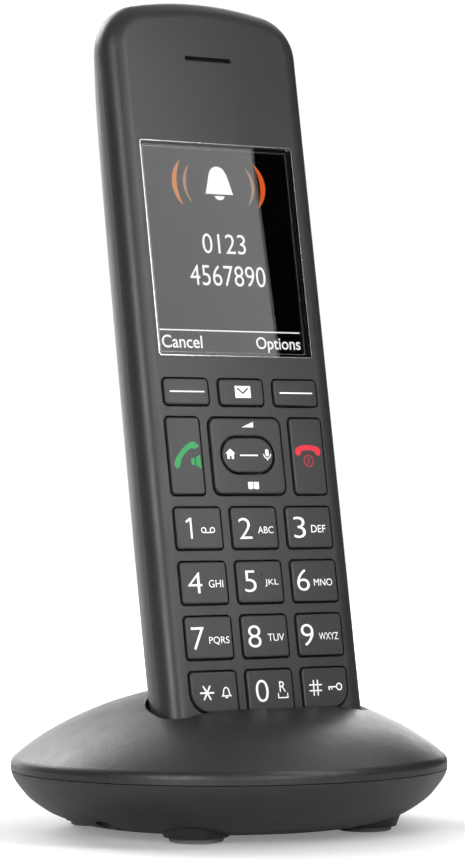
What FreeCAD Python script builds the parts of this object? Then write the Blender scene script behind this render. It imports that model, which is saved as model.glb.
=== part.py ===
import FreeCAD, Part
import os, math

# Cordless telephone handset standing in its round charging cradle.
# Row frame: origin on the floor under the centre of the round cradle, +Z up,
# +X to the right as the keys are read, the keypad faces -Y.
# The handset is drawn in its own frame (u across, d depth behind the front
# face, v along the phone) and then leaned back into the cradle.
os.makedirs("parts", exist_ok=True)
Vec = FreeCAD.Vector

# ------------------------------------------------------------ handset sizes
LEAN = 10.158          # degrees the handset leans back
FACE_Y = -21.062       # where the front face plane meets the floor plane
HW = 23.2              # half width at the shell seam
V_TOP = 174.1          # top of the outline
V_BOT = 12.0           # bottom of the outline
RC = 9.5               # outline corner radius
RCROWN = 75.0          # crown radius of the top and bottom edges
D_SEAM = 4.30          # depth of the seam between the shells
GAP_SEAM = 0.14        # open joint line between the shells
R_FRONT = 4.0          # rounding of the front edge
B_BACK = 19.4          # semi-axis of the crowned back
T_FRONT = 1.6          # wall of the front shell
T_BACK = 1.5           # wall of the back shell

# display window
WIN_W = 18.30
WIN_V0, WIN_V1 = 97.71, 142.98

# earpiece slot
EAR_V, EAR_HALF, EAR_H = 161.03, 5.61, 1.0

# keypad: opening edges
COL = 13.09
KEY_HW = 5.70
ROWS = [(57.58, 66.76), (46.48, 55.69), (35.42, 44.67), (24.62, 33.61)]
SOFT_COL, SOFT_HW, SOFT_V = 12.98, 5.575, (87.16, 93.29)
NAV_HW, NAV_V = 8.81, (68.69, 85.27)
SIDE_U, SIDE_HW = 14.56, 4.215
OK_V, OK_HU, OK_HV = 77.15, 6.42, 3.98
KEY_GAP = 0.42         # gap round each key top
KEY_PROUD = 0.52       # key tops stand this far out of the face
KEY_RIM = 0.30         # retaining rim beyond the opening
KEY_TRAVEL = 0.5
NAV_GAP, NAV_PROUD = 0.48, 0.64   # the ring key stands further out
OK_GAP, OK_PROUD = 0.42, 0.60     # centre key, just below the ring

# battery bay
COVER_V0, COVER_V1, COVER_D = 41.0, 112.0, 13.5
CELL_R, CELL_L, CELL_U, CELL_D = 5.2, 44.3, 5.5, 15.75
BAY_V0, BAY_V1 = 50.2, 101.6

# ------------------------------------------------------------ cradle sizes
CR = 44.69             # radius of the round cradle
Z_SEAM = 12.24         # height of the shell seam
DOME = (29.5712, -12.0549, -5.0663, 5.4888, -3.6415)  # dome height, even powers of r/44.7
DIP, DIP_X, DIP_Y, DIP_Y0 = 2.35, 16.0, 11.0, -18.5   # soft hollow in front of the mouth
T_TOP = 2.0
LOWER = [(26.5, 1.00), (28.2, 1.16), (31.0, 1.62), (34.5, 2.70), (36.8, 3.70), (38.5, 4.75),
         (40.0, 5.80), (41.3, 6.90), (42.25, 8.00), (43.05, 9.00), (43.75, 10.00), (44.3, 11.00),
         (44.65, 12.16)]
T_LOW = 1.8
FOOT_X, FOOT_Y, FOOT_R = 19.8, 20.3, 5.4
POCKET_SIDE = 0.55     # clearance of the pocket beside and behind the handset
POCKET_FRONT = 0.66    # clearance in front of the keys
POCKET_V = 11.3        # pocket floor, measured along the handset
CUP_T = 1.6


# ------------------------------------------------------------ helpers
def box(x0, x1, y0, y1, z0, z1):
    return Part.makeBox(x1 - x0, y1 - y0, z1 - z0, Vec(x0, y0, z0))


def cyl(r, base, direction, h):
    return Part.makeCylinder(r, h, Vec(*base), Vec(*direction))


def cyl_d(r, u, v, d0, d1):
    """cylinder along the depth of the handset"""
    return Part.makeCylinder(r, d1 - d0, Vec(u, d0, v), Vec(0, 1, 0))


def rrect(u0, u1, v0, v1, d0, d1, r, radii=None):
    """rounded rectangle plate, corners in order lower-left, lower-right, upper-right, upper-left"""
    rr = list(radii) if radii else [r] * 4
    cs = [(u0, v0, 1, 1), (u1, v0, -1, 1), (u1, v1, -1, -1), (u0, v1, 1, -1)]
    pts = []
    a0 = [180, 270, 0, 90]
    arcs = []
    for (cu, cv, su, sv), q, a in zip(cs, rr, a0):
        q = max(q, 0.02)
        c = (cu + su * q, cv + sv * q)
        p = [(c[0] + q * math.cos(math.radians(t)), c[1] + q * math.sin(math.radians(t))) for t in (a, a + 45, a + 90)]
        arcs.append(p)
    edges = []
    for i, p in enumerate(arcs):
        edges.append(Part.Arc(Vec(p[0][0], d0, p[0][1]), Vec(p[1][0], d0, p[1][1]), Vec(p[2][0], d0, p[2][1])).toShape())
        n = arcs[(i + 1) % 4][0]
        if math.hypot(n[0] - p[2][0], n[1] - p[2][1]) > 1e-6:
            edges.append(Part.LineSegment(Vec(p[2][0], d0, p[2][1]), Vec(n[0], d0, n[1])).toShape())
    return Part.Face(Part.Wire(edges)).extrude(Vec(0, d1 - d0, 0))


def outline(w, top, bot, rc, d, rcrown=RCROWN):
    """closed outline of the handset at depth d: straight sides, round corners, crowned ends"""
    def corner(end, s):
        cc = end - s * rcrown
        vc = cc + s * math.sqrt((rcrown - rc) ** 2 - (w - rc) ** 2)
        k = rcrown / (rcrown - rc)
        t = ((w - rc) * k, cc + (vc - cc) * k)
        am = 0.5 * math.atan2(abs(t[1] - vc), t[0] - (w - rc))
        m = (w - rc + rc * math.cos(am), vc + s * rc * math.sin(am))
        return vc, t, m
    vt, tt, mt = corner(top, 1)
    vb, tb, mb = corner(bot, -1)
    P = lambda a, b: Vec(a, d, b)
    e = [Part.LineSegment(P(w, vb), P(w, vt)).toShape(),
         Part.Arc(P(w, vt), P(mt[0], mt[1]), P(tt[0], tt[1])).toShape(),
         Part.Arc(P(tt[0], tt[1]), P(0, top), P(-tt[0], tt[1])).toShape(),
         Part.Arc(P(-tt[0], tt[1]), P(-mt[0], mt[1]), P(-w, vt)).toShape(),
         Part.LineSegment(P(-w, vt), P(-w, vb)).toShape(),
         Part.Arc(P(-w, vb), P(-mb[0], mb[1]), P(-tb[0], tb[1])).toShape(),
         Part.Arc(P(-tb[0], tb[1]), P(0, bot), P(tb[0], tb[1])).toShape(),
         Part.Arc(P(tb[0], tb[1]), P(mb[0], mb[1]), P(w, vb)).toShape()]
    return Part.Wire(e)


def front_solid(inset, d0, d1, r):
    w = outline(HW - inset, V_TOP - inset, V_BOT + inset, RC - inset, d0, RCROWN - inset)
    s = Part.Face(w).extrude(Vec(0, d1 - d0, 0))
    if r:
        ed = [e for e in s.Edges if abs(e.BoundBox.YMin - d0) < 1e-4 and abs(e.BoundBox.YMax - d0) < 1e-4]
        s = s.makeFillet(r, ed)
    return s


# depth of the crowned back behind the seam, along the handset
BACK_PROFILE = [(12.04, 1.0), (12.15, 2.4), (12.45, 4.5), (13.0, 6.9), (14.0, 9.6), (15.6, 12.3), (18.0, 14.9),
                (21.5, 17.0), (26.0, 18.3), (32.0, 19.1), (42.0, 19.5), (58.0, 19.6), (75.0, 19.6), (92.0, 19.5),
                (108.0, 19.25), (122.0, 18.95), (134.0, 18.6), (144.0, 18.15), (151.0, 17.5), (156.0, 16.6),
                (160.0, 15.5), (163.0, 14.3), (165.5, 13.0), (167.6, 11.7), (169.4, 10.35), (170.9, 9.0),
                (172.1, 7.6), (173.0, 6.0), (173.6, 4.4), (173.94, 2.6), (174.06, 1.1)]


def half_width(v, inset=0.0):
    """half width of the outline at height v"""
    w, rc, rw = HW - inset, RC - inset, RCROWN - inset
    top, bot = V_TOP - inset, V_BOT + inset
    best = w
    for end, s in ((top, 1), (bot, -1)):
        cc = end - s * rw
        vc = cc + s * math.sqrt((rw - rc) ** 2 - (w - rc) ** 2)
        tv = cc + (vc - cc) * rw / (rw - rc)
        if s * (v - tv) > 0:
            return math.sqrt(max(rw ** 2 - (v - cc) ** 2, 0.0))
        if s * (v - vc) > 0:
            return w - rc + math.sqrt(max(rc ** 2 - (v - vc) ** 2, 0.0))
    return best


def back_solid(inset, d_start):
    """crowned back: one smooth surface over half-elliptic sections, closed at the seam plane"""
    n = 25
    grid = []
    vm = 0.5 * (V_TOP + V_BOT)
    k = (V_TOP - V_BOT - 2 * inset) / (V_TOP - V_BOT)
    for v0, b0 in BACK_PROFILE:
        v = vm + (v0 - vm) * k
        w = half_width(v, inset)
        b = b0 * (B_BACK - inset) / B_BACK
        row = []
        for j in range(n):
            a = math.pi * j / (n - 1)
            row.append(Vec(w * math.cos(a), d_start + b * math.sin(a), v))
        grid.append(row)
    bs = Part.BSplineSurface()
    bs.interpolate(grid)
    surf = bs.toShape()
    ends = []
    for e in surf.Edges:
        ends.append(e)
    side = [e for e in ends if e.BoundBox.ZLength > 50]
    caps = [e for e in ends if e.BoundBox.ZLength < 0.05]
    lines, faces = [], [surf]
    for c in caps:
        p, q = c.Vertexes[0].Point, c.Vertexes[-1].Point
        ln = Part.LineSegment(p, q).toShape()
        lines.append(ln)
        faces.append(Part.Face(Part.Wire([c, ln])))
    faces.append(Part.Face(Part.Wire(Part.sortEdges(side + lines)[0])))
    sh = Part.Shell(faces)
    sh.sewShape()
    so = Part.makeSolid(sh if sh.ShapeType == "Shell" else sh.Shells[0])
    if so.Volume < 0:
        so.reverse()
    return so


PL = FreeCAD.Placement(Vec(0, FACE_Y, 0), FreeCAD.Rotation(Vec(1, 0, 0), -LEAN))


def place(s):
    t = s.copy()
    t.Placement = PL.multiply(t.Placement)
    return t


def fuse(a, *more):
    for m in more:
        a = a.fuse(m)
    return a.removeSplitter()


def cut(a, *tools):
    for t in tools:
        a = a.cut(t)
    return a


def save(name, s, tilted=False):
    if tilted:
        s = place(s)
    if s.ShapeType == "Compound" and len(s.Solids) == 1:
        s = s.Solids[0]
    s.exportStep("parts/%s.step" % name)
    print(name, len(s.Solids), round(s.Volume, 2), s.isValid())


def key(u0, u1, v0, v1, r, radii=None, oval=False, proud=KEY_PROUD, d_rim=1.95, rim_t=0.65, rim=KEY_RIM, g=KEY_GAP, soft=0.32):
    """key cap with a softened top edge and a retaining rim under the face"""
    rr = [max(q - g, 0.3) for q in radii] if radii else None
    cap = rrect(u0 + g, u1 - g, v0 + g, v1 - g, -proud, d_rim + rim_t, max(r - g, 0.3), rr)
    ed = [e for e in cap.Edges if abs(e.BoundBox.YMax + proud) < 1e-4]
    cap = cap.makeFillet(soft, ed)
    ro = [q + rim for q in radii] if radii else None
    flange = rrect(u0 - rim, u1 + rim, v0 - rim, v1 + rim, d_rim, d_rim + rim_t, r + rim, ro)
    return fuse(cap, flange)


# ============================================================ handset shells
openings = []
keys = {}
names = [["key_1", "key_2", "key_3"], ["key_4", "key_5", "key_6"], ["key_7", "key_8", "key_9"], ["key_star", "key_0", "key_hash"]]
for r, (v0, v1) in enumerate(ROWS):
    for c in range(3):
        u = (c - 1) * COL
        radii = [1.1, 1.1, 1.1, 1.1]
        if r == 3 and c == 0:
            radii[0] = 4.6
        if r == 3 and c == 2:
            radii[1] = 4.6
        openings.append(rrect(u - KEY_HW, u + KEY_HW, v0, v1, -1, 3, 1.1, radii))
        keys[names[r][c]] = key(u - KEY_HW, u + KEY_HW, v0, v1, 1.1, radii)
for c, n in enumerate(["soft_key_left", "message_key", "soft_key_right"]):
    u = (c - 1) * SOFT_COL
    openings.append(rrect(u - SOFT_HW, u + SOFT_HW, SOFT_V[0], SOFT_V[1], -1, 3, 1.2))
    keys[n] = key(u - SOFT_HW, u + SOFT_HW, SOFT_V[0], SOFT_V[1], 1.2)
for s, n in ((-1, "talk_key"), (1, "end_key")):
    u = s * SIDE_U
    openings.append(rrect(u - SIDE_HW, u + SIDE_HW, NAV_V[0], NAV_V[1], -1, 3, 1.2))
    keys[n] = key(u - SIDE_HW, u + SIDE_HW, NAV_V[0], NAV_V[1], 1.2)
openings.append(rrect(-NAV_HW, NAV_HW, NAV_V[0], NAV_V[1], -1, 3, 2.0))
# raised mark on the centre key, so that it is found by touch
keys["key_5"] = fuse(keys["key_5"], Part.makeSphere(0.34, Vec(0.52, -KEY_PROUD + 0.12, 52.43)))

# four-way ring: rocks up and down; its rim sits lower so that it can tilt
nav = key(-NAV_HW, NAV_HW, NAV_V[0], NAV_V[1], 2.0, d_rim=2.25, rim_t=0.55, rim=0.25, proud=NAV_PROUD, g=NAV_GAP, soft=0.42)
ok_hole = rrect(-OK_HU, OK_HU, OK_V - OK_HV, OK_V + OK_HV, -2, 4, OK_HV - 0.02)
nav = cut(nav, ok_hole)
ed = [e for e in nav.Edges if abs(e.BoundBox.YMax + NAV_PROUD) < 1e-4 and e.BoundBox.XMax < OK_HU + 0.1 and e.BoundBox.XMin > -OK_HU - 0.1]
try:
    nav = nav.makeFillet(0.34, ed)
except Exception as ex:
    print("nav inner fillet left out", ex)
keys["nav_key"] = nav
ok = rrect(-OK_HU + OK_GAP, OK_HU - OK_GAP, OK_V - OK_HV + OK_GAP, OK_V + OK_HV - OK_GAP, -OK_PROUD, 2.2, OK_HV - OK_GAP - 0.02)
ed = [e for e in ok.Edges if abs(e.BoundBox.YMax + OK_PROUD) < 1e-4]
ok = ok.makeFillet(0.30, ed)
# the rocking cap sits on a short rib so that it can tip left and right
ok = cut(ok, box(-7, -1.2, 1.75, 3, 70, 85), box(1.2, 7, 1.75, 3, 70, 85))
keys["ok_key"] = ok
plunger = rrect(-4.6, 4.6, OK_V - 2.4, OK_V + 2.4, 2.3, 2.75, 1.0)

front = front_solid(0, 0.0, D_SEAM - GAP_SEAM / 2, R_FRONT)
front_in = front_solid(T_FRONT, T_FRONT, D_SEAM + 1, 2.4)
front = cut(front, front_in)
# round bosses for the two case screws
SCREW_U, SCREW_V = 14.0, 150.8
for s in (-1, 1):
    front = fuse(front, cyl_d(2.3, s * SCREW_U, SCREW_V, T_FRONT - 0.3, 6.2))
    front = cut(front, cyl_d(1.06, s * SCREW_U, SCREW_V, 2.4, 7))
front = cut(front, *openings)
# window seat: shallow recess with a narrow ledge
front = cut(front, rrect(-WIN_W, WIN_W, WIN_V0, WIN_V1, -1, 1.14, 0.7))
front = cut(front, rrect(-WIN_W + 1.1, WIN_W - 1.1, WIN_V0 + 1.1, WIN_V1 - 1.1, -1, 3, 0.4))
# earpiece slot and microphone hole
front = cut(front, rrect(-EAR_HALF, EAR_HALF, EAR_V - EAR_H / 2, EAR_V + EAR_H / 2, -1, 3, EAR_H / 2 - 0.01))
front = cut(front, cyl_d(0.5, 0, 17.5, -1, 3))
save("handset_front_housing", front, True)

# back shell
outer = back_solid(0.0, D_SEAM + GAP_SEAM / 2)
inner = back_solid(T_BACK, D_SEAM + GAP_SEAM / 2)
back = cut(outer, inner)
# locating tongue inside the front shell
tongue = cut(Part.Face(outline(HW - 1.68, V_TOP - 1.68, V_BOT + 1.68, RC - 1.68, D_SEAM - 0.9)).extrude(Vec(0, 1.5, 0)),
             Part.Face(outline(HW - 2.3, V_TOP - 2.3, V_BOT + 2.3, RC - 2.3, D_SEAM - 1.0)).extrude(Vec(0, 2.0, 0)))
step = cut(Part.Face(outline(HW - 1.2, V_TOP - 1.2, V_BOT + 1.2, RC - 1.2, D_SEAM + GAP_SEAM / 2)).extrude(Vec(0, 0.9, 0)),
           Part.Face(outline(HW - 2.3, V_TOP - 2.3, V_BOT + 2.3, RC - 2.3, D_SEAM)).extrude(Vec(0, 2.2, 0))).common(outer)
back = fuse(back, tongue, step)
# battery bay: ledge plate with a tub
plate = box(-30, 30, 11.9, 13.2, COVER_V0 - 1.6, COVER_V1 + 1.6)
tub = box(-12.9, 12.9, 9.0, 13.2, BAY_V0 - 1.3, BAY_V1 + 1.3)
bay = plate.fuse(tub).common(inner)
back = fuse(back, bay)
back = cut(back, box(-30, 30, COVER_D - 0.30, 40, COVER_V0 - 0.15, COVER_V1 + 0.15))
back = cut(back, box(-11.6, 11.6, 10.2, 40, BAY_V0, BAY_V1))
# case screw wells near the top
for s in (-1, 1):
    post = cyl_d(3.7, s * SCREW_U, SCREW_V, 6.4, 30).common(outer)
    back = fuse(back, post)
    back = cut(back, cyl_d(1.15, s * SCREW_U, SCREW_V, 6, 9), cyl_d(2.75, s * SCREW_U, SCREW_V, 8.2, 30))
# loudspeaker ring and grille
spk_v = 128.0
ring = cut(cyl_d(10.6, 0, spk_v, 17.5, 26), cyl_d(9.3, 0, spk_v, 17, 26)).common(outer)
back = fuse(back, ring)
for k in range(-2, 3):
    L = 6.5 if k in (-2, 2) else 8.0
    back = cut(back, rrect(-L, L, spk_v + k * 2.6 - 0.45, spk_v + k * 2.6 + 0.45, 20.5, 30, 0.44))
# recesses for the charging contact plates in the bottom end
for s in (-1, 1):
    back = cut(back, box(s * 8 - 2.1, s * 8 + 2.1, 5.2, 9.4, 8, 12.86))
save("handset_back_housing", back, True)

cover = cut(outer, inner).common(box(-30, 30, COVER_D, 40, COVER_V0 + 0.15, COVER_V1 - 0.15))
# finger ridges near the upper end of the cover
for k in range(4):
    rid = rrect(-6.5 + 0.8 * k, 6.5 - 0.8 * k, 98.0 + k * 2.2, 98.9 + k * 2.2, 20, 24.4, 0.4)
    cover = cover.fuse(rid.common(back_solid(-0.35, D_SEAM + 0.07)).cut(inner))
cover = cover.removeSplitter()
save("battery_cover", cover, True)

for s, n in ((-1, "battery_left"), (1, "battery_right")):
    u = s * CELL_U
    flip = 1 if s > 0 else -1
    vc = (BAY_V0 + BAY_V1) / 2
    body = Part.makeCylinder(CELL_R, CELL_L - 1.0, Vec(u, CELL_D, vc - (CELL_L - 1.0) / 2 - 0.4 * flip), Vec(0, 0, 1))
    body = body.makeFillet(0.4, [e for e in body.Edges if e.Curve.TypeId == "Part::GeomCircle"])
    nv = vc + flip * (CELL_L / 2 - 0.95)
    nub = Part.makeCylinder(1.9, 1.2, Vec(u, CELL_D, nv - 0.6 + 0.15 * flip), Vec(0, 0, 1))
    save(n, fuse(body, nub), True)

# battery contacts: four bent leaf plates, two at each end of the bay
cl = []
vc = (BAY_V0 + BAY_V1) / 2
for s in (-1, 1):
    u = s * CELL_U
    for e, vend in ((-1, BAY_V0), (1, BAY_V1)):
        a, b = sorted((vend - e * 0.05, vend - e * 0.45))
        leaf = box(u - 3.6, u + 3.6, 11.4, 19.0, a, b)
        arm = box(u - 1.5, u + 1.5, 11.4, 11.8, *sorted((vend - e * 0.05, vend - e * 2.6)))
        bump = cyl(1.6, (u, CELL_D, vend - e * 0.4), (0, 0, -e), 1.9)
        cl.append(fuse(leaf, arm, bump))
save("battery_contacts", Part.makeCompound(cl), True)

# ============================================================ handset inside
g = 0.08
window = rrect(-WIN_W + g, WIN_W - g, WIN_V0 + g, WIN_V1 - g, 0.03, 1.0, 0.62)
window = window.makeChamfer(0.12, [e for e in window.Edges if abs(e.BoundBox.YMax - 0.03) < 1e-4])
save("display_window", window, True)
adh = cut(rrect(-WIN_W + 0.15, WIN_W - 0.15, WIN_V0 + 0.15, WIN_V1 - 0.15, 1.01, 1.13, 0.5),
          rrect(-WIN_W + 1.0, WIN_W - 1.0, WIN_V0 + 1.0, WIN_V1 - 1.0, 0.9, 1.3, 0.4))
save("window_adhesive", adh, True)
gas = cut(rrect(-WIN_W - 0.2, WIN_W + 0.2, WIN_V0 - 0.4, WIN_V1 + 0.4, 1.63, 2.0, 0.8),
          rrect(-WIN_W + 1.2, WIN_W - 1.2, WIN_V0 + 1.2, WIN_V1 - 1.2, 1.5, 2.2, 0.4))
save("display_gasket", gas, True)
save("display_module", fuse(rrect(-18.9, 18.9, 96.2, 144.6, 2.02, 4.4, 0.8), rrect(-9, 9, 94.6, 96.6, 3.6, 4.2, 0.3)), True)
save("earpiece_mesh", rrect(-6.9, 6.9, EAR_V - 1.5, EAR_V + 1.5, 1.62, 1.74, 0.6), True)
ear = fuse(cyl_d(6.6, 0, 160.4, 1.80, 3.4), cyl_d(5.0, 0, 160.4, 3.3, 4.7))
save("earpiece_speaker", ear, True)
save("microphone", fuse(cyl_d(2.1, 0, 17.5, 1.75, 3.9), box(-0.9, 0.9, 3.8, 4.85, 16.8, 18.2)), True)
board = rrect(-19.4, 19.4, 15.6, 166.4, 4.9, 5.9, 5.5)
for s in (-1, 1):
    board = cut(board, cyl_d(2.7, s * SCREW_U, SCREW_V, 4, 7))
save("handset_circuit_board", board, True)
save("radio_shield", cut(rrect(-12, 12, 112, 138, 5.95, 8.4, 0.8), rrect(-11.7, 11.7, 112.3, 137.7, 5.0, 8.1, 0.5)), True)
save("processor_chip", rrect(-5, 5, 60, 70, 5.95, 7.0, 0.3), True)
domes = rrect(-19.2, 19.2, 23.5, 94.2, 4.72, 4.84, 1.0)
pts = [((c - 1) * COL, (v0 + v1) / 2) for (v0, v1) in ROWS for c in range(3)]
pts += [((c - 1) * SOFT_COL, sum(SOFT_V) / 2) for c in range(3)]
pts += [(-SIDE_U, 77), (SIDE_U, 77), (0, OK_V), (0, 70.6), (0, 83.4), (-5.2, OK_V), (5.2, OK_V)]
for u, v in pts:
    domes = domes.fuse(Part.makeCone(2.0, 1.2, 0.22, Vec(u, 4.74, v), Vec(0, -1, 0)))
save("dome_sheet", domes.removeSplitter(), True)
mat = rrect(-19.9, 19.9, 22.6, 94.5, 3.45, 3.85, 1.5)
for u, v in pts:
    mat = mat.fuse(cyl_d(1.1, u, v, 3.80, 4.42))
    mat = mat.fuse(cyl_d(1.7, u, v, 3.22, 3.5)) if False else mat
save("keypad_mat", mat.removeSplitter(), True)
save("loudspeaker", fuse(cyl_d(9.1, 0, spk_v, 16.6, 18.6), cyl_d(6.0, 0, spk_v, 13.6, 16.8)), True)
sc = []
for s in (-1, 1):
    h = cyl_d(2.3, s * SCREW_U, SCREW_V, 8.25, 9.9)
    h = cut(h, box(s * SCREW_U - 1.5, s * SCREW_U + 1.5, 9.2, 10.5, SCREW_V - 0.25, SCREW_V + 0.25), box(s * SCREW_U - 0.25, s * SCREW_U + 0.25, 9.2, 10.5, SCREW_V - 1.5, SCREW_V + 1.5))
    sc.append(fuse(h, cyl_d(1.0, s * SCREW_U, SCREW_V, 2.7, 8.3)))
save("handset_screws", Part.makeCompound(sc), True)
cc = [rrect(s * 8 - 2.0, s * 8 + 2.0, 12.32, 12.78, 5.3, 9.3, 0.05) for s in (-1, 1)]
save("handset_charging_contacts", Part.makeCompound(cc), True)
for n, s in keys.items():
    save(n, s, True)
save("ok_key_plunger", plunger, True)


# ============================================================ cradle
def dome_z(x, y, drop=0.0):
    r = math.hypot(x, y)
    if r < 44.7:
        q = (r / 44.7) ** 2
        z = sum(c * q ** i for i, c in enumerate(DOME))
    else:
        z = 14.30 - 0.98 * (r - 44.7)
    return z - DIP * math.exp(-(x / DIP_X) ** 2 - ((y - DIP_Y0) / DIP_Y) ** 2) - drop


def dome_solid(drop, n=33, half=47.0, depth=60.0):
    pts = [[Vec(-half + 2 * half * i / (n - 1), -half + 2 * half * j / (n - 1),
                dome_z(-half + 2 * half * i / (n - 1), -half + 2 * half * j / (n - 1), drop)) for j in range(n)] for i in range(n)]
    bs = Part.BSplineSurface()
    bs.interpolate(pts)
    return bs.toShape().extrude(Vec(0, 0, -depth))


def pocket(side, front, v0, v1):
    """prism along the handset, larger than its cross-section by the given margins"""
    rc = R_FRONT + side
    w, d0 = HW + side, -front
    P = lambda a, b: Vec(a, b, v0)
    c = rc * (1 - math.sqrt(0.5))
    e = [Part.LineSegment(P(-w + rc, d0), P(w - rc, d0)).toShape(),
         Part.Arc(P(w - rc, d0), P(w - c, d0 + c), P(w, d0 + rc)).toShape(),
         Part.LineSegment(P(w, d0 + rc), P(w, D_SEAM)).toShape()]
    b = B_BACK + side
    el = Part.Ellipse(Vec(0, D_SEAM, v0), w, b) if w > b else Part.Ellipse(Vec(0, D_SEAM, v0), b, w)
    arc = Part.ArcOfEllipse(el, 0, math.pi).toShape()
    e += [arc, Part.LineSegment(P(-w, D_SEAM), P(-w, d0 + rc)).toShape(),
          Part.Arc(P(-w, d0 + rc), P(-w + c, d0 + c), P(-w + rc, d0)).toShape()]
    f = Part.Face(Part.Wire(Part.sortEdges(e)[0]))
    return place(f.extrude(Vec(0, 0, v1 - v0)))


core = Part.makeCylinder(CR, 40, Vec(0, 0, Z_SEAM + 0.08))
top = core.common(dome_solid(0.0))
ed = [e for e in top.Edges if e.BoundBox.ZMin > Z_SEAM + 0.5 and e.BoundBox.ZMin > 12.9]
try:
    t2 = top.makeFillet(2.0, ed)
    if t2.isValid():
        top = t2
except Exception as ex:
    print("rim fillet left out", ex)
hollow = Part.makeCylinder(CR - 1.8, 40, Vec(0, 0, Z_SEAM - 3)).common(dome_solid(T_TOP))
shell = top.cut(hollow)
below = Part.makeCylinder(CR - 1.0, 60, Vec(0, 0, -10)).common(dome_solid(0.6))
cup = pocket(POCKET_SIDE + CUP_T, POCKET_FRONT + CUP_T, POCKET_V - CUP_T, 46).common(below)
shell = fuse(shell, cup)
# case bosses
bosses = [(33.0, 9.0), (33.0, -9.0), (-33.0, 9.0), (-33.0, -9.0)]
inner_dome = dome_solid(T_TOP - 0.5)
for x, y in bosses:
    b = Part.makeCylinder(3.1, 30, Vec(x, y, 7.6)).common(inner_dome)
    shell = shell.fuse(b)
shell = shell.cut(pocket(POCKET_SIDE, POCKET_FRONT, POCKET_V, 60))
for x, y in bosses:
    shell = shell.cut(Part.makeCylinder(1.18, 9.2, Vec(x, y, 7.0)))
PIN_U, PIN_D = 8.0, 7.2
for s in (-1, 1):
    shell = shell.cut(place(cyl(1.3, (s * PIN_U, PIN_D, 8), (0, 0, 1), 6)))
shell = shell.removeSplitter()
# soften the mouth of the pocket
mouth = [e for e in shell.Edges if e.BoundBox.ZMin > 20.5 and e.BoundBox.DiagonalLength > 1.0 and
         any(abs(dome_z(p.x, p.y) - p.z) < 0.08 for p in e.discretize(3)[1:2])]
done = False
for rad in (0.7, 0.5, 0.35):
    try:
        t2 = shell.makeFillet(rad, mouth)
        if t2.isValid() and len(t2.Solids) == 1 and t2.Volume < shell.Volume:
            shell = t2
            done = True
            print("mouth fillet", rad)
            break
    except Exception as ex:
        print("mouth fillet failed", rad, ex)
save("cradle_top_shell", shell)


def spline_profile(pts):
    c = Part.BSplineCurve()
    c.interpolate([Vec(r, 0, z) for r, z in pts])
    return c.toShape()


def offset_pts(pts, t):
    out = []
    for i, (r, z) in enumerate(pts):
        a = pts[max(i - 1, 0)]
        b = pts[min(i + 1, len(pts) - 1)]
        tx, tz = b[0] - a[0], b[1] - a[1]
        n = math.hypot(tx, tz)
        out.append((r - t * tz / n, z + t * tx / n))
    return out


def revolve(edges):
    f = Part.Face(Part.Wire(Part.sortEdges(edges)[0]))
    return f.revolve(Vec(0, 0, 0), Vec(0, 0, 1), 360)


L = lambda a, b: Part.LineSegment(Vec(a[0], 0, a[1]), Vec(b[0], 0, b[1])).toShape()
lo_in = offset_pts(LOWER, T_LOW)
lo_in[0] = (lo_in[0][0], LOWER[0][1] + T_LOW)
lo_in[-1] = (lo_in[-1][0], LOWER[-1][1])
base = revolve([spline_profile(LOWER), L(LOWER[-1], lo_in[-1]), spline_profile(lo_in),
                L(lo_in[0], (0, lo_in[0][1])), L((0, lo_in[0][1]), (0, LOWER[0][1])), L((0, LOWER[0][1]), LOWER[0])])
# locating tongue inside the top shell
t = Part.makeCylinder(CR - 1.88, 3.4, Vec(0, 0, 9.8)).cut(Part.makeCylinder(CR - 2.7, 5, Vec(0, 0, 9.0)))
solid_low = revolve([spline_profile(LOWER), L(LOWER[-1], (0, LOWER[-1][1])), L((0, LOWER[-1][1]), (0, LOWER[0][1])), L((0, LOWER[0][1]), LOWER[0])])
keep = solid_low.fuse(Part.makeCylinder(CR - 1.0, 5, Vec(0, 0, 12.0)))
base = base.fuse(t.common(keep))
# foot bosses and screw wells
for sx in (-1, 1):
    for sy in (-1, 1):
        b = Part.makeCone(6.4, 7.6, 3.2, Vec(sx * FOOT_X, sy * FOOT_Y, 0.92))
        base = base.fuse(b)
for sx in (-1, 1):
    for sy in (-1, 1):
        base = base.cut(Part.makeCylinder(FOOT_R + 0.06, 1.0, Vec(sx * FOOT_X, sy * FOOT_Y, 0.45)))
for x, y in bosses:
    base = base.fuse(Part.makeCylinder(4.1, 6.1, Vec(x, y, 1.35)).common(solid_low))
for x, y in bosses:
    base = base.cut(Part.makeCylinder(2.8, 7.5, Vec(x, y, -2.0)))
    base = base.cut(Part.makeCylinder(1.25, 10, Vec(x, y, 0)))
# posts for the small board, and the opening for the power inlet
for s in (-1, 1):
    base = base.fuse(Part.makeCylinder(2.2, 6.4, Vec(s * 18, 23, 2.5)))
base = base.cut(box(-4.6, 4.6, 30.3, 46, 4.12, 10.6))
base = base.fuse(box(-5.2, 5.2, 30.2, 39.6, 2.6, 4.1).cut(Part.makeCylinder(30, 10, Vec(0, 0, 0))).common(solid_low))
base = base.removeSplitter()
save("cradle_bottom_shell", base)

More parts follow.
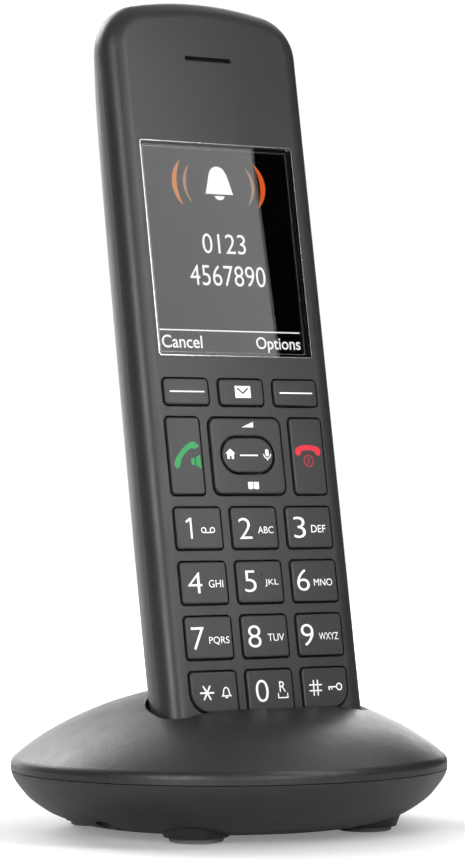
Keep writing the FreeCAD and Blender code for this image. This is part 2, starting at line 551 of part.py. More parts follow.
feet = []
for sx in (-1, 1):
    for sy in (-1, 1):
        f = Part.makeCylinder(FOOT_R, 1.40, Vec(sx * FOOT_X, sy * FOOT_Y, 0))
        f = f.makeFillet(0.35, [e for e in f.Edges if e.BoundBox.ZMax < 0.01])
        feet.append(f)
save("rubber_feet", Part.makeCompound(feet))
sc = []
for x, y in bosses:
    h = Part.makeCylinder(2.4, 1.6, Vec(x, y, 3.88))
    h = h.cut(box(x - 1.6, x + 1.6, y - 0.3, y + 0.3, 3, 4.6)).cut(box(x - 0.3, x + 0.3, y - 1.6, y + 1.6, 3, 4.6))
    sc.append(fuse(h, Part.makeCylinder(1.1, 10.4, Vec(x, y, 5.3))))
save("cradle_screws", Part.makeCompound(sc))
pcb = box(-21, 21, 13.0, 28.6, 9.0, 10.2)
pcb = pcb.makeFillet(1.2, [e for e in pcb.Edges if e.BoundBox.ZLength > 1 and e.BoundBox.XLength < 0.01 and e.BoundBox.YLength < 0.01])
save("cradle_circuit_board", pcb)
cap = Part.makeCylinder(2.6, 6.2, Vec(12, 20.5, 10.25))
cap = cap.makeFillet(0.4, [e for e in cap.Edges if e.BoundBox.ZMin > 16])
save("cradle_capacitor", cap)
save("cradle_coil", cut(Part.makeCylinder(3.0, 4.2, Vec(-11, 20.5, 10.25)), Part.makeTorus(3.6, 1.1, Vec(-11, 20.5, 12.3))))
jack = box(-4.2, 4.2, 30.6, 40.2, 4.2, 10.3)
jack = jack.makeFillet(0.5, [e for e in jack.Edges if e.BoundBox.YLength > 5])
jack = jack.cut(box(-3.1, 3.1, 32.4, 42, 4.9, 9.6))
save("power_inlet_jack", jack)
bl = [box(s * 1.3 - 0.35, s * 1.3 + 0.35, 28.9, 38.4, 5.4 - 0.45, 5.4 - 0.05) for s in (-1, 1)]
bl = [box(s * 1.4 - 0.4, s * 1.4 + 0.4, 32.45, 38.5, 4.93, 5.12) for s in (-1, 1)]
save("power_inlet_contacts", Part.makeCompound(bl))

# sprung charging pins under the pocket floor, along the handset's long axis
HOLD_V0, HOLD_V1 = 6.1, POCKET_V - CUP_T - 0.02
hold = rrect(-10.6, 10.6, HOLD_V0, HOLD_V1, 4.7, 9.7, 0.4)
for s in (-1, 1):
    hold = cut(hold, cyl(1.85, (s * PIN_U, PIN_D, HOLD_V0 + 0.5), (0, 0, 1), 6))
save("contact_holder", hold, True)
for s, n in ((-1, "charging_pin_left"), (1, "charging_pin_right")):
    pin = cyl(1.0, (s * PIN_U, PIN_D, 7.9), (0, 0, 1), 4.27)
    pin = pin.makeFillet(0.6, [e for e in pin.Edges if e.BoundBox.ZMin > 12.1])
    save(n, fuse(pin, cyl(1.6, (s * PIN_U, PIN_D, 8.45), (0, 0, 1), 0.55)), True)
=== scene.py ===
import math
import bpy
from mathutils import Matrix, Vector


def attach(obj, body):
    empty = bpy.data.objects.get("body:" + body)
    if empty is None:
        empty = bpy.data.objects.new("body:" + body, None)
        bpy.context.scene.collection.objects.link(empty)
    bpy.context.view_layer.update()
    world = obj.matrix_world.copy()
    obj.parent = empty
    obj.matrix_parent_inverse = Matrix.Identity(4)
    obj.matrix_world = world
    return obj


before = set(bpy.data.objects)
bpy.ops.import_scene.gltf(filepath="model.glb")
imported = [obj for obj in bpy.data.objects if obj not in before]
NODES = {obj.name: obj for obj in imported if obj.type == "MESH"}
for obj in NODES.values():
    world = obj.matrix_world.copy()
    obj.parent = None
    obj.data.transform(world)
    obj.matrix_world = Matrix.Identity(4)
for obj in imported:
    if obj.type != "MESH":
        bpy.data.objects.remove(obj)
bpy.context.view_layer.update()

scene = bpy.context.scene
scene.view_settings.view_transform = "Standard"
scene.view_settings.look = "None"

# ---------------------------------------------------------------- handset frame
LEAN = math.radians(10.158)
FACE_Y = -0.021062
UP = Vector((0, math.sin(LEAN), math.cos(LEAN)))
OUT = Vector((0, -math.cos(LEAN), math.sin(LEAN)))
FACE = Matrix(((1, UP.x, OUT.x, 0), (0, UP.y, OUT.y, FACE_Y), (0, UP.z, OUT.z, 0), (0, 0, 0, 1)))
MM = 0.001
KEY_OUT, NAV_OUT, OK_OUT = 0.52, 0.64, 0.60   # key tops above the face, mm
PRINT = 0.012           # thickness of printed legends, mm


def at(u, v, out=0.0):
    """point on the handset's face: u across, v along, out in front of it, in mm"""
    return FACE @ Vector((u * MM, v * MM, out * MM))


# ---------------------------------------------------------------- node helpers
class Tree:
    def __init__(self, name):
        self.m = bpy.data.materials.new(name)
        self.m.use_nodes = True
        self.t = self.m.node_tree
        self.n = self.t.nodes
        self.n.clear()
        self.out = self.n.new("ShaderNodeOutputMaterial")
        self.tc = self.n.new("ShaderNodeTexCoord")

    def link(self, a, b):
        self.t.links.new(a, b)

    def noise(self, scale, detail=3.0, rough=0.5, stretch=None, kind="noise"):
        src = self.tc.outputs["Object"]
        if stretch:
            mp = self.n.new("ShaderNodeMapping")
            mp.inputs["Scale"].default_value = stretch
            self.link(src, mp.inputs["Vector"])
            src = mp.outputs["Vector"]
        if kind == "voronoi":
            x = self.n.new("ShaderNodeTexVoronoi")
            x.inputs["Scale"].default_value = scale
            self.link(src, x.inputs["Vector"])
            return x.outputs["Distance"]
        x = self.n.new("ShaderNodeTexNoise")
        x.inputs["Scale"].default_value = scale
        x.inputs["Detail"].default_value = detail
        x.inputs["Roughness"].default_value = rough
        self.link(src, x.inputs["Vector"])
        return x.outputs["Fac"]

    def remap(self, src, a, b, lo, hi):
        x = self.n.new("ShaderNodeMapRange")
        x.inputs["From Min"].default_value = a
        x.inputs["From Max"].default_value = b
        x.inputs["To Min"].default_value = lo
        x.inputs["To Max"].default_value = hi
        self.link(src, x.inputs["Value"])
        return x.outputs["Result"]

    def ramp(self, src, stops):
        x = self.n.new("ShaderNodeValToRGB")
        el = x.color_ramp.elements
        while len(el) < len(stops):
            el.new(0.5)
        for e, (p, c) in zip(el, stops):
            e.position = p
            e.color = (*c, 1)
        self.link(src, x.inputs["Fac"])
        return x.outputs["Color"]

    def bump(self, src, strength, distance, below=None):
        x = self.n.new("ShaderNodeBump")
        x.inputs["Strength"].default_value = strength
        x.inputs["Distance"].default_value = distance
        self.link(src, x.inputs["Height"])
        if below:
            self.link(below, x.inputs["Normal"])
        return x.outputs["Normal"]

    def principled(self, **kw):
        p = self.n.new("ShaderNodeBsdfPrincipled")
        for k, v in kw.items():
            k = k.replace("_", " ")
            if hasattr(v, "is_linked"):
                self.link(v, p.inputs[k])
            else:
                p.inputs[k].default_value = v
        self.link(p.outputs[0], self.out.inputs["Surface"])
        return p


def shade(c, f):
    return tuple(max(0.0, min(1.0, x * f)) for x in c)


def plastic(name, col, rough=0.42, grain=4200.0, depth=0.000012, strength=0.35, mottle=0.06, spec=0.5, scuff=0.05, coat=0.0, speck=0.0):
    """moulded plastic: fine spark-eroded grain, slow colour drift and faint rubbed streaks in the gloss"""
    t = Tree(name)
    slow = t.noise(42.0, 3.0)
    colour = t.ramp(slow, [(0.30, shade(col, 1 - mottle)), (0.52, col), (0.74, shade(col, 1 + mottle))])
    if speck:        # tiny lighter and darker points of a spark-eroded mould
        pts = t.remap(t.noise(3400.0, 2.0, 0.7), 0.35, 0.65, 1 - speck, 1 + speck)
        mul = t.n.new("ShaderNodeVectorMath")
        mul.operation = "SCALE"
        t.link(colour, mul.inputs[0])
        t.link(pts, mul.inputs["Scale"])
        colour = mul.outputs["Vector"]
    streak = t.noise(260.0, 5.0, 0.6, (1.0, 1.0, 0.12))
    r = t.remap(streak, 0.3, 0.72, rough - scuff, rough + scuff)
    fine = t.noise(grain, 2.0, 0.6)
    cell = t.noise(grain * 0.55, kind="voronoi")
    b = t.bump(fine, strength, depth)
    b = t.bump(cell, strength * 0.5, depth, b)
    kw = dict(Base_Color=colour, Roughness=r, Normal=b, Specular_IOR_Level=spec)
    if coat:
        kw.update(Coat_Weight=coat, Coat_Roughness=0.25)
    t.principled(**kw)
    return t.m


def metal(name, col, rough=0.28, brush=(1, 1, 1), grain=1800.0):
    t = Tree(name)
    a = t.noise(grain, 4.0, 0.6, brush)
    colour = t.ramp(a, [(0.3, shade(col, 0.86)), (0.7, col)])
    r = t.remap(a, 0.3, 0.7, rough * 0.7, rough * 1.4)
    b = t.bump(a, 0.25, 0.000008)
    t.principled(Base_Color=colour, Roughness=r, Metallic=1.0, Normal=b)
    return t.m


def rubber(name, col, rough=0.75, grain=2600.0):
    t = Tree(name)
    a = t.noise(grain, 3.0, 0.6)
    s = t.noise(120.0, 4.0)
    colour = t.ramp(s, [(0.3, shade(col, 0.85)), (0.7, shade(col, 1.12))])
    r = t.remap(a, 0.3, 0.7, rough - 0.08, rough + 0.08)
    b = t.bump(a, 0.5, 0.00002)
    t.principled(Base_Color=colour, Roughness=r, Normal=b, Specular_IOR_Level=0.3)
    return t.m


def board_mat(name):
    """solder mask over copper tracks"""
    t = Tree(name)
    v = t.noise(900.0, kind="voronoi")
    colour = t.ramp(v, [(0.0, (0.01, 0.06, 0.03)), (0.35, (0.015, 0.11, 0.05)), (0.5, (0.02, 0.16, 0.07))])
    b = t.bump(v, 0.3, 0.00003)
    t.principled(Base_Color=colour, Roughness=0.32, Normal=b, Coat_Weight=0.4, Coat_Roughness=0.1)
    return t.m


def printed(name, col, rough=0.5, glow=0.0):
    """screen-printed ink: slightly uneven cover and a soft tooth; a glow value adds painted glow, an emission that
    makes the ink brighter than the lamps light it
    """
    t = Tree(name)
    a = t.noise(2200.0, 3.0)
    colour = t.ramp(a, [(0.25, shade(col, 0.93)), (0.6, col)])
    b = t.bump(a, 0.2, 0.00001)
    kw = dict(Base_Color=colour, Roughness=t.remap(a, 0.3, 0.7, rough - 0.06, rough + 0.06), Normal=b)
    if glow:
        kw.update(Emission_Color=colour, Emission_Strength=glow)
    t.principled(**kw)
    return t.m


def lit(name, col, strength=1.0, dot=9000.0):
    """backlit screen graphic with the faint dot pattern of the panel"""
    t = Tree(name)
    a = t.noise(dot, kind="voronoi")
    colour = t.ramp(a, [(0.0, col), (0.8, shade(col, 0.96))])
    t.principled(Base_Color=(0.0, 0.0, 0.0, 1), Roughness=0.6, Emission_Color=colour, Emission_Strength=strength, Specular_IOR_Level=0.0)
    return t.m


DARK = (0.029, 0.0293, 0.0297)
M = {}
M["front"] = plastic("handset_plastic", DARK, rough=0.42, grain=5200, depth=0.000008, strength=0.3)
M["back"] = plastic("handset_back_plastic", (0.031, 0.0313, 0.0317), rough=0.42, grain=4600, depth=0.00001, strength=0.35)
M["cover"] = plastic("battery_cover_plastic", (0.030, 0.0303, 0.0307), rough=0.44, grain=4600, depth=0.00001, strength=0.35)
M["key"] = plastic("key_plastic", (0.030, 0.0303, 0.0307), rough=0.41, grain=5200, depth=0.000007, strength=0.25)
M["top"] = plastic("cradle_top_plastic", (0.022, 0.0222, 0.0225), rough=0.42, grain=2300, depth=0.000045, strength=0.7, scuff=0.04, speck=0.35)
M["low"] = plastic("cradle_lower_plastic", (0.018, 0.0182, 0.0185), rough=0.44, grain=2300, depth=0.000035, strength=0.6, scuff=0.04, speck=0.25)
M["white_plastic"] = plastic("natural_plastic", (0.42, 0.40, 0.35), rough=0.5)
M["black"] = plastic("black_plastic", (0.02, 0.02, 0.02), rough=0.4)
M["chip"] = plastic("chip_epoxy", (0.018, 0.018, 0.02), rough=0.55)
M["foam"] = rubber("foam_tape", (0.014, 0.014, 0.015))
M["feet"] = rubber("foot_rubber", (0.16, 0.16, 0.165))
M["silicone"] = rubber("key_mat_silicone", (0.35, 0.35, 0.36), rough=0.55)
M["mesh"] = rubber("earpiece_cloth", (0.004, 0.004, 0.004), grain=7000)
M["board"] = board_mat("circuit_board")
M["tin"] = metal("tinned_steel", (0.62, 0.61, 0.58), 0.35, (1, 1, 0.2))
M["nickel"] = metal("nickel_plate", (0.70, 0.68, 0.62), 0.2)
M["gold"] = metal("gold_flash", (0.85, 0.62, 0.25), 0.2)
M["zinc"] = metal("zinc_screw", (0.42, 0.42, 0.42), 0.3)
M["copper"] = metal("copper_winding", (0.55, 0.25, 0.12), 0.35, (1, 1, 8))
M["can"] = metal("capacitor_can", (0.25, 0.25, 0.45), 0.3)
M["speaker"] = metal("speaker_steel", (0.2, 0.2, 0.2), 0.4)


def sleeve(name):
    """battery sleeve: printed film with a pale band at the positive end"""
    t = Tree(name)
    sep = t.n.new("ShaderNodeSeparateXYZ")
    t.link(t.tc.outputs["Object"], sep.inputs["Vector"])
    g = t.remap(sep.outputs["Z"], 0.05, 0.10, 0.0, 1.0)
    colour = t.ramp(g, [(0.0, (0.05, 0.22, 0.12)), (0.70, (0.06, 0.26, 0.14)), (0.72, (0.5, 0.5, 0.48))])
    a = t.noise(1500.0, 4.0)
    t.principled(Base_Color=colour, Roughness=t.remap(a, 0.3, 0.7, 0.22, 0.34), Normal=t.bump(a, 0.15, 0.00001), Coat_Weight=0.5, Coat_Roughness=0.1)
    return t.m


M["sleeve"] = sleeve("battery_sleeve")


def window_mat():
    """clear hard-coated window: mirror-like at the surface, slightly smoked"""
    t = Tree("window_glass")
    tr = t.n.new("ShaderNodeBsdfTransparent")
    tr.inputs["Color"].default_value = (0.97, 0.97, 0.975, 1)
    gl = t.n.new("ShaderNodeBsdfGlossy")
    a = t.noise(700.0, 4.0)
    t.link(t.remap(a, 0.3, 0.7, 0.002, 0.010), gl.inputs["Roughness"])
    gl.inputs["Color"].default_value = (1, 1, 1, 1)
    fr = t.n.new("ShaderNodeFresnel")
    fr.inputs["IOR"].default_value = 1.5
    mx = t.n.new("ShaderNodeMixShader")
    t.link(fr.outputs[0], mx.inputs[0])
    t.link(tr.outputs[0], mx.inputs[1])
    t.link(gl.outputs[0], mx.inputs[2])
    t.link(mx.outputs[0], t.out.inputs["Surface"])
    return t.m


M["window"] = window_mat()


def panel_mat():
    """face of the display panel: near black with a very faint stripe of its pixels"""
    t = Tree("display_panel")
    a = t.noise(4000.0, 2.0, 0.5, (1, 1, 0.2))
    colour = t.ramp(a, [(0.3, (0.0012, 0.0012, 0.0013)), (0.7, (0.0018, 0.0018, 0.002))])
    t.principled(Base_Color=colour, Roughness=t.remap(a, 0.3, 0.7, 0.5, 0.6), Specular_IOR_Level=0.0)
    return t.m


M["panel"] = panel_mat()
# the glow on these legend inks is painted light: emission that brightens the print beyond what the lamps give
M["ink_white_painted_glow"] = printed("legend_white_painted_glow", (0.90, 0.90, 0.90), glow=0.18)
M["ink_green_painted_glow"] = printed("legend_green_painted_glow", (0.022, 0.31, 0.085), glow=0.08)
M["ink_red_painted_glow"] = printed("legend_red_painted_glow", (0.66, 0.016, 0.036), glow=0.10)
M["ink_dark_red_painted_glow"] = printed("legend_dark_red_painted_glow", (0.42, 0.008, 0.022), glow=0.05)
M["lit_white"] = lit("screen_white", (1.0, 1.0, 1.0), 1.05)
M["lit_orange"] = lit("screen_orange", (0.83, 0.13, 0.018), 1.0)
M["lit_dim"] = lit("screen_dim_orange", (0.42, 0.19, 0.06), 0.9)
M["lit_pale"] = lit("screen_pale_orange", (0.62, 0.185, 0.012), 1.0)
M["edge"] = metal("window_edge", (0.72, 0.72, 0.72), 0.22)
M["edge_dim"] = metal("window_border_fine", (0.28, 0.28, 0.28), 0.3)
M["print_black"] = plastic("window_back_print", (0.004, 0.004, 0.004), rough=0.6, spec=0.05)

NODE_MATS = {
    "handset_front_housing": "front", "handset_back_housing": "back", "battery_cover": "cover",
    "battery_left": "sleeve", "battery_right": "sleeve", "battery_contacts": "nickel", "display_window": "window",
    "window_adhesive": "foam", "display_gasket": "foam", "display_module": "panel", "earpiece_mesh": "mesh",
    "earpiece_speaker": "speaker", "microphone": "foam", "handset_circuit_board": "board", "radio_shield": "tin",
    "processor_chip": "chip", "dome_sheet": "tin", "keypad_mat": "silicone", "loudspeaker": "speaker",
    "handset_screws": "zinc", "handset_charging_contacts": "nickel", "ok_key_plunger": "white_plastic",
    "cradle_top_shell": "top", "cradle_bottom_shell": "low", "rubber_feet": "feet", "cradle_screws": "zinc",
    "cradle_circuit_board": "board", "cradle_capacitor": "can", "cradle_coil": "copper", "power_inlet_jack": "black",
    "power_inlet_contacts": "gold", "contact_holder": "white_plastic", "charging_pin_left": "nickel", "charging_pin_right": "nickel",
}
for name, ob in NODES.items():
    key = NODE_MATS.get(name, "key")
    ob.data.materials.clear()
    ob.data.materials.append(M[key])


# ---------------------------------------------------------------- flat artwork on the handset
def eval_mesh(ob):
    scene.collection.objects.link(ob)
    bpy.context.view_layer.update()
    dg = bpy.context.evaluated_depsgraph_get()
    me = bpy.data.meshes.new_from_object(ob.evaluated_get(dg))
    data = ob.data
    bpy.data.objects.remove(ob)
    bpy.data.curves.remove(data)
    return [v.co.copy() for v in me.vertices], [tuple(p.vertices) for p in me.polygons], me


def glyphs(text, box, bold=0.0, keep_ratio=False):
    """outline text fitted to a box (u0, u1, v0, v1); returns vertices with z 0..1 and faces"""
    cu = bpy.data.curves.new("glyph", "FONT")
    cu.body = text
    cu.size = 1.0
    cu.resolution_u = 5
    cu.offset = bold
    cu.extrude = 0.5
    co, fa, me = eval_mesh(bpy.data.objects.new("glyph", cu))
    bpy.data.meshes.remove(me)
    x0, x1 = min(c.x for c in co), max(c.x for c in co)
    y0, y1 = min(c.y for c in co), max(c.y for c in co)
    u0, u1, v0, v1 = box
    out = [Vector((u0 + (c.x - x0) / (x1 - x0) * (u1 - u0), v0 + (c.y - y0) / (y1 - y0) * (v1 - v0), c.z + 0.5)) for c in co]
    return out, fa


def shape(polys):
    """filled outline(s), holes where they nest"""
    cu = bpy.data.curves.new("shape", "CURVE")
    cu.dimensions = "2D"
    cu.fill_mode = "BOTH"
    cu.extrude = 0.5
    for p in polys:
        s = cu.splines.new("POLY")
        s.points.add(len(p) - 1)
        for q, (x, y) in zip(s.points, p):
            q.co = (x, y, 0, 1)
        s.use_cyclic_u = True
    co, fa, me = eval_mesh(bpy.data.objects.new("shape", cu))
    bpy.data.meshes.remove(me)
    return [Vector((c.x, c.y, c.z + 0.5)) for c in co], fa


def ring_pts(cx, cy, rx, ry, a0=0, a1=360, n=40):
    return [(cx + rx * math.cos(math.radians(a0 + (a1 - a0) * i / n)), cy + ry * math.sin(math.radians(a0 + (a1 - a0) * i / n))) for i in range(n + (0 if a1 - a0 == 360 else 1))]


def stroke(pts, w, closed=False, n=6, taper=None):
    """outline of a line of width w with round ends"""
    pts = [Vector((x, y, 0)) for x, y in pts]
    k = len(pts)
    left, right = [], []
    for i, p in enumerate(pts):
        a = pts[(i - 1) % k] if closed or i > 0 else p
        b = pts[(i + 1) % k] if closed or i < k - 1 else p
        d1 = (p - a).normalized() if (p - a).length > 1e-9 else (b - p).normalized()
        d2 = (b - p).normalized() if (b - p).length > 1e-9 else d1
        t = (d1 + d2)
        t = t.normalized() if t.length > 1e-6 else d1
        nrm = Vector((-t.y, t.x, 0))
        m = max(0.45, nrm.dot(Vector((-d1.y, d1.x, 0))))
        ww = (w if taper is None else taper[i]) / 2 / m
        left.append((p.x + nrm.x * ww, p.y + nrm.y * ww))
        right.append((p.x - nrm.x * ww, p.y - nrm.y * ww))
    if closed:
        return [left, right]
    if taper is not None:
        return [left + right[::-1]]

    def cap(p, d):
        a = math.atan2(d.y, d.x) + math.pi / 2
        return [(p.x + math.cos(a - math.pi * i / n) * w / 2, p.y + math.sin(a - math.pi * i / n) * w / 2) for i in range(1, n)]
    e = cap(pts[-1], (pts[-1] - pts[-2]).normalized())
    s = cap(pts[0], (pts[0] - pts[1]).normalized())
    return [left + e + right[::-1] + s]


def arc3(p0, pm, p1, n=16):
    """points of the arc through three points"""
    (ax, ay), (bx, by), (cx, cy) = p0, pm, p1
    d = 2 * (ax * (by - cy) + bx * (cy - ay) + cx * (ay - by))
    ux = ((ax * ax + ay * ay) * (by - cy) + (bx * bx + by * by) * (cy - ay) + (cx * cx + cy * cy) * (ay - by)) / d
    uy = ((ax * ax + ay * ay) * (cx - bx) + (bx * bx + by * by) * (ax - cx) + (cx * cx + cy * cy) * (bx - ax)) / d
    r = math.hypot(ax - ux, ay - uy)
    a0 = math.atan2(ay - uy, ax - ux)
    am = math.atan2(by - uy, bx - ux)
    a1 = math.atan2(cy - uy, cx - ux)
    while am - a0 > math.pi: am -= 2 * math.pi
    while am - a0 < -math.pi: am += 2 * math.pi
    while a1 - am > math.pi: a1 -= 2 * math.pi
    while a1 - am < -math.pi: a1 += 2 * math.pi
    return [(ux + r * math.cos(a0 + (a1 - a0) * i / n), uy + r * math.sin(a0 + (a1 - a0) * i / n)) for i in range(n + 1)]


def piece(name, parts, out, thick, mat, body):
    """one thin mesh on the handset's face plane from several flat parts; out is the height of its back"""
    co, fa, off = [], [], 0
    for c, f in parts:
        co += [at(p.x, p.y, out + p.z * thick) for p in c]
        fa += [tuple(i + off for i in q) for q in f]
        off = len(co)
    me = bpy.data.meshes.new(name)
    me.from_pydata([tuple(c) for c in co], [], fa)
    me.update()
    ob = bpy.data.objects.new(name, me)
    scene.collection.objects.link(ob)
    me.materials.append(M[mat])
    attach(ob, body)
    return ob


def key_print(name, parts, body, mat="ink_white_painted_glow", out=KEY_OUT):
    return piece(name, parts, out + 0.001, PRINT, mat, body)


def poly(*pts):
    return shape([list(pts)])


# digits and letters, boxes in mm on the face: (u0, u1, v0, v1)
COL_TXT = {
    "key_1": (None, None, None, None),
    "key_2": ("2", (-3.87, -0.84, 59.86, 64.20), "ABC", (0.60, 4.30, 60.99, 62.40)),
    "key_3": ("3", (9.22, 12.04, 59.95, 64.35), "DEF", (13.43, 16.90, 61.08, 62.60)),
    "key_4": ("4", (-16.95, -13.65, 48.99, 53.25), "GHI", (-12.13, -8.79, 50.13, 51.64)),
    "key_5": ("5", (-3.75, -0.98, 49.03, 53.42), "JKL", (1.07, 4.27, 50.08, 51.60)),
    "key_6": ("6", (8.76, 11.73, 49.05, 53.50), "MNO", (12.77, 17.20, 50.04, 51.50)),
    "key_7": ("7", (-17.30, -14.26, 37.68, 42.20), "PQRS", (-13.28, -8.58, 38.55, 40.22)),
    "key_8": ("8", (-4.15, -1.11, 37.76, 42.28), "TUV", (0.49, 4.36, 38.98, 40.48)),
    "key_9": ("9", (8.46, 11.45, 37.78, 42.25), "WXYZ", (12.70, 17.35, 38.95, 40.40)),
    "key_0": ("0", (-3.57, -0.58, 26.76, 31.24), "R", (2.04, 3.52, 28.66, 30.80)),
}
for body, (dig, b1, let, b2) in COL_TXT.items():
    if dig is None:        # the figure one, and two loops joined by a bar
        parts = [poly((-16.24, 63.62), (-15.20, 64.30), (-14.78, 64.30), (-14.78, 60.05), (-15.22, 60.05), (-15.22, 63.74), (-15.98, 63.24))]
        parts.append(shape(stroke(ring_pts(-12.13, 61.77, 0.50, 0.50, n=26), 0.23, closed=True)))
        parts.append(shape(stroke(ring_pts(-10.09, 61.77, 0.50, 0.50, n=26), 0.23, closed=True)))
        parts.append(shape(stroke([(-12.13, 61.27), (-10.09, 61.27)], 0.23)))
    else:
        parts = [glyphs(dig, b1, bold=-0.010), glyphs(let, b2, bold=0.0)]
    if body == "key_0":        # space bracket
        parts.append(shape(stroke([(1.66, 28.30), (1.66, 27.48), (3.84, 27.48), (3.84, 28.30)], 0.25)))
    key_print(body + "_print", parts, body)

# star, bell, hash and lock legends
cx, cy = -14.92, 29.02
star = [shape(stroke([(cx - 1.48 * math.cos(math.radians(a)), cy - 1.48 * math.sin(math.radians(a))),
                      (cx + 1.48 * math.cos(math.radians(a)), cy + 1.48 * math.sin(math.radians(a)))], 0.36)) for a in (0, 60, 120)]


def bell_outline(cx, base, w, h):
    """simple bell: dome and flared skirt"""
    half = [(-0.50, 0.0), (-0.44, 0.10), (-0.36, 0.26), (-0.33, 0.45), (-0.31, 0.62), (-0.25, 0.82), (-0.13, 0.96), (0.0, 1.0)]
    pts = [(cx + w * x, base + h * y) for x, y in half]
    return pts + [(2 * cx - x, y) for x, y in pts[:-1][::-1]]


bell_small = [shape(stroke(bell_outline(-10.46, 28.30, 1.95, 1.68), 0.27, closed=True)), shape([ring_pts(-10.46, 28.10, 0.36, 0.30, 180, 360, 12)])]
key_print("key_star_print", star + bell_small, "key_star")
hsh = [shape(stroke([(9.28, 29.80), (12.08, 29.80)], 0.28)), shape(stroke([(9.22, 28.62), (12.02, 28.62)], 0.28)),
       shape(stroke([(10.16, 27.72), (10.24, 30.68)], 0.30)), shape(stroke([(11.12, 27.72), (11.20, 30.68)], 0.30))]
lock = [shape(stroke(ring_pts(16.30, 29.26, 0.60, 0.66, n=28), 0.27, closed=True)), shape(stroke([(15.60, 29.26), (13.85, 29.26), (13.85, 28.70)], 0.27)),
        shape(stroke([(14.52, 29.26), (14.52, 28.80)], 0.27))]
key_print("key_hash_print", hsh + lock, "key_hash")

# soft keys, message key
key_print("soft_key_left_print", [poly((-16.95, 90.05), (-8.82, 90.05), (-8.82, 90.34), (-16.95, 90.34))], "soft_key_left")
key_print("soft_key_right_print", [poly((9.10, 90.05), (17.04, 90.05), (17.04, 90.34), (9.10, 90.34))], "soft_key_right")
# envelope: sheet with a fine folded line left open
ex0, ex1, ey0, ey1 = -1.60, 2.10, 89.03, 91.52
fold = [(-0.95, 90.98), (0.25, 90.00), (1.45, 90.98)]
env = [shape([[(ex0, ey0), (ex1, ey0), (ex1, ey1), (ex0, ey1)], stroke(fold, 0.34, n=4)[0]])]
key_print("message_key_print", env, "message_key")

# talk key: receiver and loudspeaker
talk = [poly((-17.50, 75.20), (-17.14, 76.20), (-16.46, 77.22), (-15.47, 78.25), (-14.36, 79.15), (-13.50, 79.66), (-12.75, 79.90), (-12.40, 79.82), (-11.98, 79.52),
             (-11.38, 78.96), (-11.42, 78.84), (-12.36, 78.36), (-12.62, 78.36), (-13.02, 78.50), (-13.30, 78.48), (-13.87, 78.16), (-14.83, 77.38), (-15.49, 76.61), (-15.90, 75.90),
             (-16.00, 75.56), (-15.90, 75.34), (-16.32, 74.66), (-16.74, 74.28), (-16.92, 74.30), (-17.30, 74.79)),
        poly((-13.46, 76.48), (-12.64, 76.48), (-12.64, 75.08), (-13.46, 75.08)),
        poly((-12.36, 76.58), (-11.30, 77.26), (-11.30, 74.26), (-12.36, 74.96))]
key_print("talk_key_print", talk, "talk_key", "ink_green_painted_glow")
# end key: receiver lying down, and the power mark in a darker red
red = [poly((11.48, 78.20), (11.66, 78.56), (11.98, 78.82), (12.88, 79.15), (13.97, 79.30), (15.10, 79.28), (16.30, 79.10), (17.16, 78.80), (17.42, 78.56), (17.55, 78.20),
            (17.48, 77.30), (17.30, 77.12), (16.62, 77.14), (16.44, 77.30), (16.16, 77.80), (15.92, 78.06), (15.06, 78.22), (13.80, 78.22), (13.05, 78.06), (12.86, 77.80),
            (12.66, 77.34), (12.46, 77.16), (11.70, 77.14), (11.50, 77.34))]
key_print("end_key_print", red, "end_key", "ink_red_painted_glow")
pw = [shape(stroke(ring_pts(14.54, 75.98, 1.12, 1.14, n=32), 0.26, closed=True)), shape(stroke([(14.50, 75.52), (14.50, 76.48)], 0.26))]
key_print("end_key_power_print", pw, "end_key", "ink_dark_red_painted_glow")

# ring key: volume wedge and open book; centre key: house, dash, microphone
vol = [poly((-0.98, 82.88), (1.86, 82.88), (1.86, 84.02))]
book = [poly((-0.72, 71.62), (-0.24, 71.54), (0.30, 71.62), (0.48, 71.52), (0.48, 70.22), (0.20, 70.08), (-0.24, 70.04), (-0.72, 70.16)),
        poly((1.84, 71.62), (1.36, 71.54), (0.82, 71.62), (0.64, 71.52), (0.64, 70.22), (0.92, 70.08), (1.36, 70.04), (1.84, 70.16))]
key_print("nav_key_print", vol + book, "nav_key", out=NAV_OUT)
house = [poly((-5.36, 77.44), (-4.19, 78.46), (-3.02, 77.44), (-3.40, 77.44), (-3.40, 76.32), (-3.96, 76.32), (-3.96, 76.96), (-4.42, 76.96), (-4.42, 76.32), (-4.98, 76.32), (-4.98, 77.44))]
dash = [poly((-1.92, 76.92), (2.34, 76.92), (2.34, 77.22), (-1.92, 77.22))]
mic = [shape(stroke([(4.54, 77.26), (4.54, 78.00)], 0.80)),
       shape(stroke(arc3((3.74, 77.30), (4.54, 76.46), (5.34, 77.30), 12), 0.22)), shape(stroke([(4.54, 76.46), (4.54, 76.12)], 0.24))]
key_print("ok_key_print", house + dash + mic, "ok_key", out=OK_OUT)

# ---------------------------------------------------------------- screen picture behind the window
SCR = -1.995


def lens(p0, pm, p1, wmax, n=20):
    """crescent stroke, widest in the middle"""
    pts = arc3(p0, pm, p1, n)
    return stroke(pts, wmax, taper=[max(0.03, wmax * math.sin(math.pi * min(max(i / n, 0.01), 0.99)) ** 0.8) for i in range(n + 1)])


def on_screen(name, parts, mat):
    return piece(name, parts, SCR, 0.015, mat, "handset")


